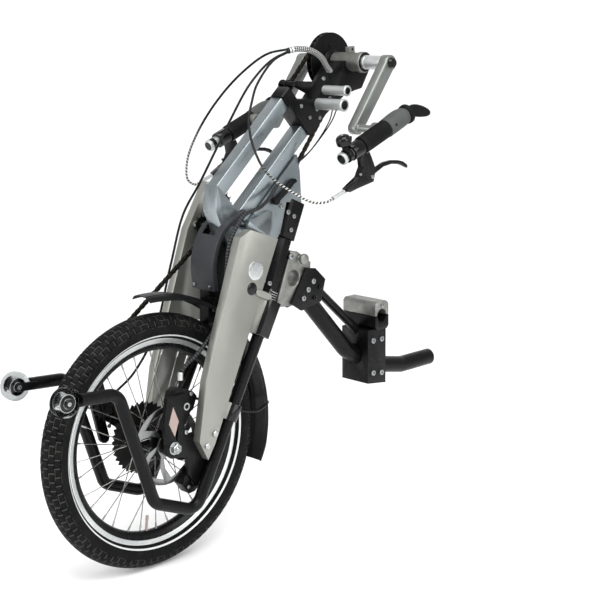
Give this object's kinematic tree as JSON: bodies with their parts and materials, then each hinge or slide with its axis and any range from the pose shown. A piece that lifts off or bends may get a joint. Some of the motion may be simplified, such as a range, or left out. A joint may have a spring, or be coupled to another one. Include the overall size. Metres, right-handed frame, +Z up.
{
  "type": "clip-on handcycle",
  "caption": "Clip-on handcycle: a forked driving wheel with a chain drive from hand cranks on a mast, a steering head and a docking boom with a frame clamp.",
  "frame": {"origin": "where the tyre meets the ground, in the wheel's middle plane, under the axle", "axes": "+X to the rider's left along the wheel axle, -Y forward, +Z up"},
  "size_m": [0.44, 1.1343, 1.0439],
  "materials": {
    "silver_paint": "satin silver grey coat",
    "polished_alloy": "polished",
    "cast_alloy": "cast and blasted",
    "black_metal": "satin black coat",
    "black_plastic": "matte moulded",
    "tyre_rubber": "matt rubber",
    "grip_rubber": "matt rubber",
    "steel": "bright drawn steel",
    "chain_steel": "oiled dark steel",
    "roller_plastic": "frosted translucent",
    "cable_jacket": "smooth jacket",
    "braid": "braided black and steel"
  },
  "bodies": {
    "dock": {"head_tube": "black_metal", "dock_casting": "cast_alloy", "dock_side_plate_left": "black_metal", "dock_side_plate_right": "black_metal", "boom_tube": "black_metal", "boom_post": "black_metal", "frame_clamp_cap": "cast_alloy"},
    "fork": {"steering_column": "black_metal", "fork_blade_left": "silver_paint", "fork_blade_right": "silver_paint", "fork_crown": "silver_paint", "mast_tube_front": "silver_paint", "mast_tube_rear": "silver_paint", "head_bracket": "black_metal", "cross_peg_lower": "polished_alloy", "cross_peg_upper": "polished_alloy", "bottom_bracket_shell": "silver_paint", "cover_shell": "black_plastic", "mudguard": "black_plastic", "wheel_axle": "steel", "dropout_left": "black_metal", "dropout_right": "black_metal", "brake_caliper_upper": "black_metal", "brake_caliper_lower": "black_metal", "derailleur_body": "black_metal", "chain": "chain_steel", "cable_sheath": "braid", "lever_cable_left": "cable_jacket", "lever_cable_right": "cable_jacket", "brake_hose": "cable_jacket", "stand_spring_left": "polished_alloy", "stand_spring_right": "polished_alloy"},
    "wheel": {"front_tyre": "tyre_rubber", "front_rim": "black_metal", "spoked_hub": "steel", "brake_rotor": "steel"},
    "cassette": {"cassette": "chain_steel"},
    "idler_upper": {"idler_upper": "black_plastic"},
    "idler_lower": {"idler_lower": "black_plastic"},
    "guide_pulley": {"guide_pulley": "black_plastic"},
    "derailleur_cage": {"derailleur_cage": "black_metal"},
    "tension_pulley": {"tension_pulley": "black_plastic"},
    "cranks": {"crank_axle": "silver_paint", "chainring": "black_metal", "crank_arm_left": "silver_paint", "crank_arm_right": "silver_paint"},
    "mast_release_lever": {"mast_release_lever": "black_metal"},
    "grip_left": {"grip_bar_left": "silver_paint", "grip_sleeve_left": "grip_rubber", "lever_bracket_left": "black_metal", "bell": "black_metal"},
    "brake_lever_left": {"brake_lever_left": "black_metal"},
    "stand_left": {"stand_leg_left": "black_metal"},
    "stand_roller_left": {"stand_roller_left": "roller_plastic"},
    "grip_right": {"grip_bar_right": "silver_paint", "grip_sleeve_right": "grip_rubber", "lever_bracket_right": "black_metal"},
    "brake_lever_right": {"brake_lever_right": "black_metal"},
    "stand_right": {"stand_leg_right": "black_metal"},
    "stand_roller_right": {"stand_roller_right": "roller_plastic"}
  },
  "joints": [
    {"name": "steering", "type": "hinge", "parent": "dock", "child": "fork", "pos_m": [0, 0.39455, 0.69681], "axis": [0, 0.3971, 0.9178], "range_deg": [-35, 35]},
    {"name": "wheel_spin", "type": "hinge", "parent": "fork", "child": "wheel", "pos_m": [0, 0, 0.258], "axis": [1, 0, 0], "continuous": true},
    {"name": "crank_spin", "type": "hinge", "parent": "fork", "child": "cranks", "pos_m": [0, 0.55878, 0.9816], "axis": [1, 0, 0], "continuous": true},
    {"name": "cassette_spin", "type": "hinge", "parent": "fork", "child": "cassette", "pos_m": [0, 0, 0.258], "axis": [1, 0, 0], "continuous": true},
    {"name": "idler_upper_spin", "type": "hinge", "parent": "fork", "child": "idler_upper", "pos_m": [0, 0.24455, 0.70281], "axis": [1, 0, 0], "continuous": true},
    {"name": "idler_lower_spin", "type": "hinge", "parent": "fork", "child": "idler_lower", "pos_m": [0, 0.18555, 0.66381], "axis": [1, 0, 0], "continuous": true},
    {"name": "guide_pulley_spin", "type": "hinge", "parent": "fork", "child": "guide_pulley", "pos_m": [0, -0.078, 0.33], "axis": [1, 0, 0], "continuous": true},
    {"name": "cage_swing", "type": "hinge", "parent": "fork", "child": "derailleur_cage", "pos_m": [0, -0.078, 0.33], "axis": [1, 0, 0], "range_deg": [0, 12], "deforming": ["chain"]},
    {"name": "tension_pulley_spin", "type": "hinge", "parent": "derailleur_cage", "child": "tension_pulley", "pos_m": [0, -0.09649, 0.40578], "axis": [1, 0, 0], "continuous": true},
    {"name": "release_lever_pull", "type": "hinge", "parent": "fork", "child": "mast_release_lever", "pos_m": [0, 0.32195, 0.70601], "axis": [1, 0, 0], "range_deg": [0, 28]},
    {"name": "grip_left_spin", "type": "hinge", "parent": "cranks", "child": "grip_left", "pos_m": [0.2, 0.46129, 0.85223], "axis": [1, 0, 0], "continuous": true},
    {"name": "brake_lever_left_pull", "type": "hinge", "parent": "grip_left", "child": "brake_lever_left", "pos_m": [0.2, 0.41999, 0.76202], "axis": [1, 0, 0], "range_deg": [0, 20], "stiffness_Nm_per_rad": 1.2, "springref_deg": -5.73},
    {"name": "stand_left_swing", "type": "hinge", "parent": "fork", "child": "stand_left", "pos_m": [0.08, 0.14, 0.303], "axis": [0, 0.4756, 0.8796], "range_deg": [0, 180]},
    {"name": "stand_roller_left_spin", "type": "hinge", "parent": "stand_left", "child": "stand_roller_left", "pos_m": [0.08, -0.25703, 0.4075], "axis": [1, 0, 0], "continuous": true},
    {"name": "grip_right_spin", "type": "hinge", "parent": "cranks", "child": "grip_right", "pos_m": [-0.2, 0.46129, 0.85223], "axis": [1, 0, 0], "continuous": true},
    {"name": "brake_lever_right_pull", "type": "hinge", "parent": "grip_right", "child": "brake_lever_right", "pos_m": [-0.2, 0.41999, 0.76202], "axis": [1, 0, 0], "range_deg": [0, 20], "stiffness_Nm_per_rad": 1.2, "springref_deg": -5.73},
    {"name": "stand_right_swing", "type": "hinge", "parent": "fork", "child": "stand_right", "pos_m": [-0.08, 0.14, 0.303], "axis": [0, -0.4756, -0.8796], "range_deg": [0, 180]},
    {"name": "stand_roller_right_spin", "type": "hinge", "parent": "stand_right", "child": "stand_roller_right", "pos_m": [-0.08, -0.25703, 0.4075], "axis": [1, 0, 0], "continuous": true}
  ],
  "couplings": [
    {"joint": "cassette_spin", "follows": "crank_spin", "ratio": 1.4},
    {"joint": "idler_upper_spin", "follows": "crank_spin", "ratio": 2.5455},
    {"joint": "idler_lower_spin", "follows": "crank_spin", "ratio": -2.5455},
    {"joint": "guide_pulley_spin", "follows": "crank_spin", "ratio": -2.5455},
    {"joint": "tension_pulley_spin", "follows": "crank_spin", "ratio": 2.5455}
  ]
}
